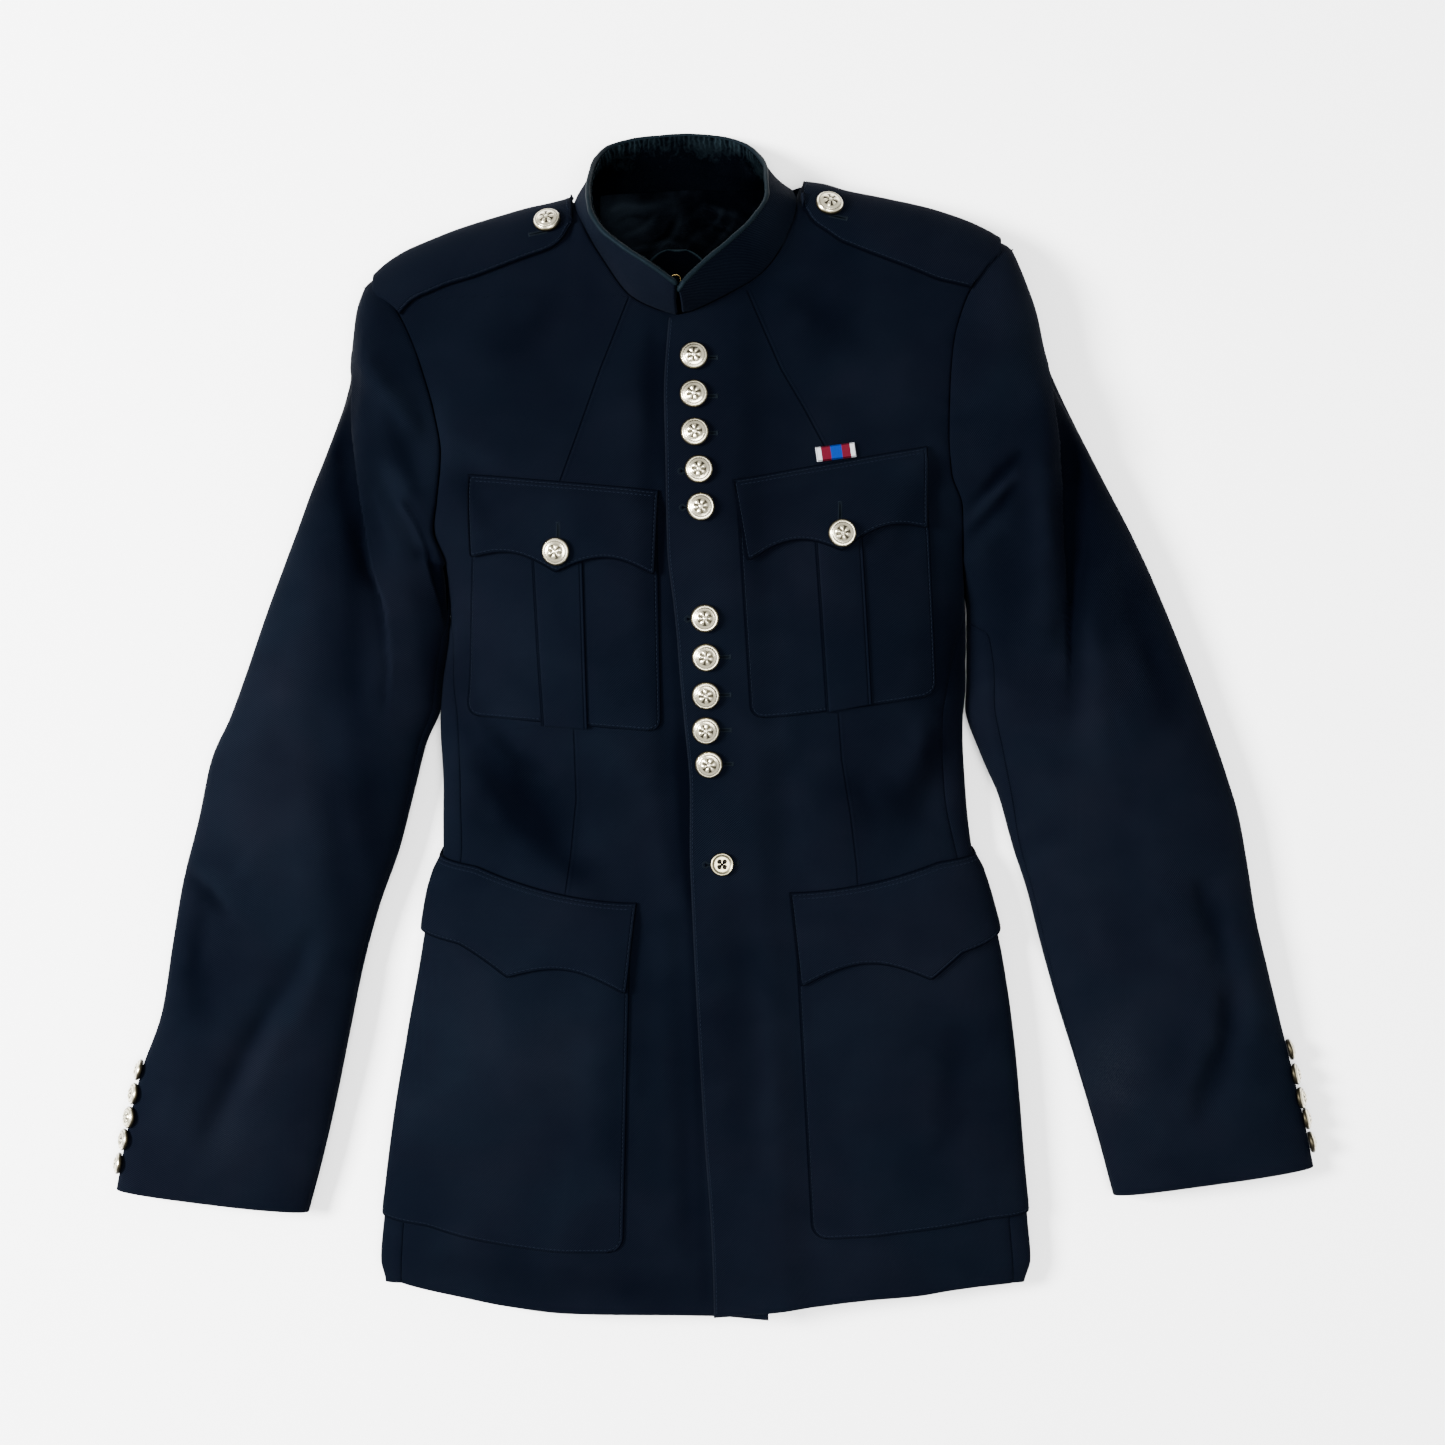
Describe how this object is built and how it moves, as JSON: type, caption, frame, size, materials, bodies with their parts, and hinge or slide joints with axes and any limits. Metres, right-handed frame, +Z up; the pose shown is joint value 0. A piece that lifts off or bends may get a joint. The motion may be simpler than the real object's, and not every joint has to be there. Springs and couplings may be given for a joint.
{
  "type": "military dress jacket",
  "caption": "Military dress jacket with stand collar, shoulder straps, buttoned front and flap pockets, laid flat on its back.",
  "frame": {"origin": "centre of the bounding box on the surface that the jacket lies on", "axes": "+Z up from the surface to the buttoned front, +Y from hem to collar, +X to the wearer's left"},
  "size_m": [0.8422, 0.8276, 0.0874],
  "materials": {
    "cloth": "very dark navy wool in a fine diagonal twill, pressed, low sheen",
    "facing": "smooth green-black collar facing and piping with a soft leathery sheen",
    "lining": "black satin lining, softly wrinkled",
    "silver": "warm bright silver plate, darkened in the hollows of the crest",
    "ribbon": "ribbed ribbon with plain white, crimson and blue stripes"
  },
  "bodies": {
    "root": {"front_left": "cloth", "side_body_left": "cloth", "back_left": "cloth", "sleeve_top_left": "cloth", "sleeve_under_left": "cloth", "epaulette_left": "cloth", "breast_pocket_left": "cloth", "breast_pleat_left": "cloth", "breast_flap_left": "cloth", "hip_pocket_left": "cloth", "hip_flap_left": "cloth", "front_right": "cloth", "side_body_right": "cloth", "back_right": "cloth", "sleeve_top_right": "cloth", "sleeve_under_right": "cloth", "epaulette_right": "cloth", "breast_pocket_right": "cloth", "breast_pleat_right": "cloth", "breast_flap_right": "cloth", "hip_pocket_right": "cloth", "hip_flap_right": "cloth", "collar": "cloth", "collar_tab": "cloth", "collar_facing": "facing", "collar_edging": "facing", "back_lining": "lining", "collar_hook": "silver", "ribbon_bar": "ribbon", "front_button_01": "silver", "front_button_02": "silver", "front_button_03": "silver", "front_button_04": "silver", "front_button_05": "silver", "front_button_06": "silver", "front_button_07": "silver", "front_button_08": "silver", "front_button_09": "silver", "front_button_10": "silver", "flat_button": "silver", "breast_button_left": "silver", "epaulette_button_left": "silver", "cuff_button_left_1": "silver", "cuff_button_left_2": "silver", "cuff_button_left_3": "silver", "cuff_button_left_4": "silver", "cuff_button_left_5": "silver", "breast_button_right": "silver", "epaulette_button_right": "silver", "cuff_button_right_1": "silver", "cuff_button_right_2": "silver", "cuff_button_right_3": "silver", "cuff_button_right_4": "silver", "cuff_button_right_5": "silver"}
  },
  "joints": []
}
